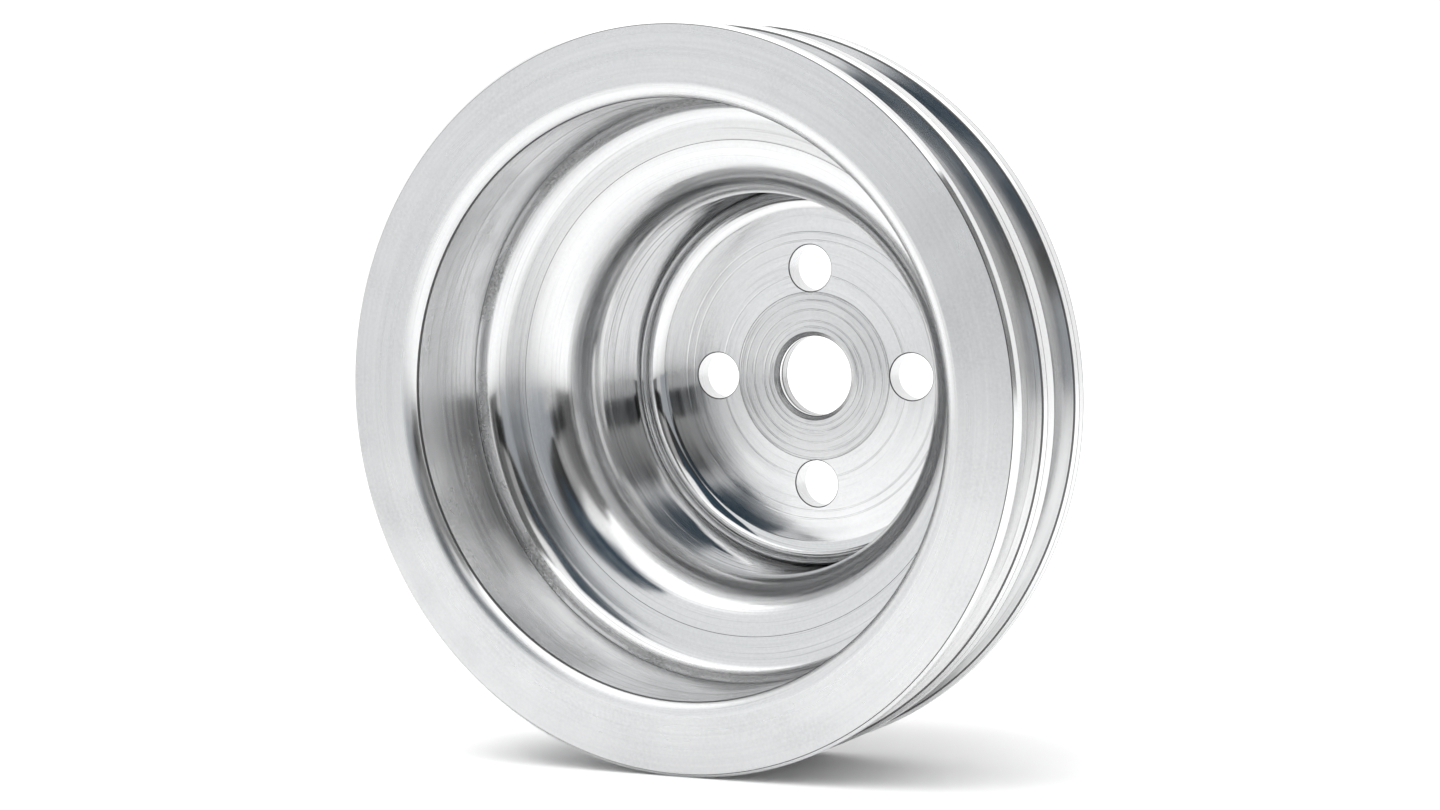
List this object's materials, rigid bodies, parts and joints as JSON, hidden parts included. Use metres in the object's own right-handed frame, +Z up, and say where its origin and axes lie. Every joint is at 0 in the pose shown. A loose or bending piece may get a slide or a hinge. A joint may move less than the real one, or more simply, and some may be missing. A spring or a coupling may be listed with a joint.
{
  "type": "v-belt pulley",
  "caption": "Deep-dished aluminium V-belt pulley with grooves round the rim, a centre bore and a ring of bolt holes in the floor of the dish.",
  "frame": {"origin": "centre of the bore on the rear mounting face", "axes": "Y is the pulley's axis: +Y leaves the rear mounting face towards the hub, -Y leaves the open side of the dish; +Z is up and +X is to the right, seen from the open side"},
  "size_m": [0.1435, 0.0661, 0.1434],
  "materials": {
    "turned_aluminium": "bare turned aluminium with fine concentric tool marks"
  },
  "bodies": {
    "root": {"pulley": "turned_aluminium"}
  },
  "joints": []
}
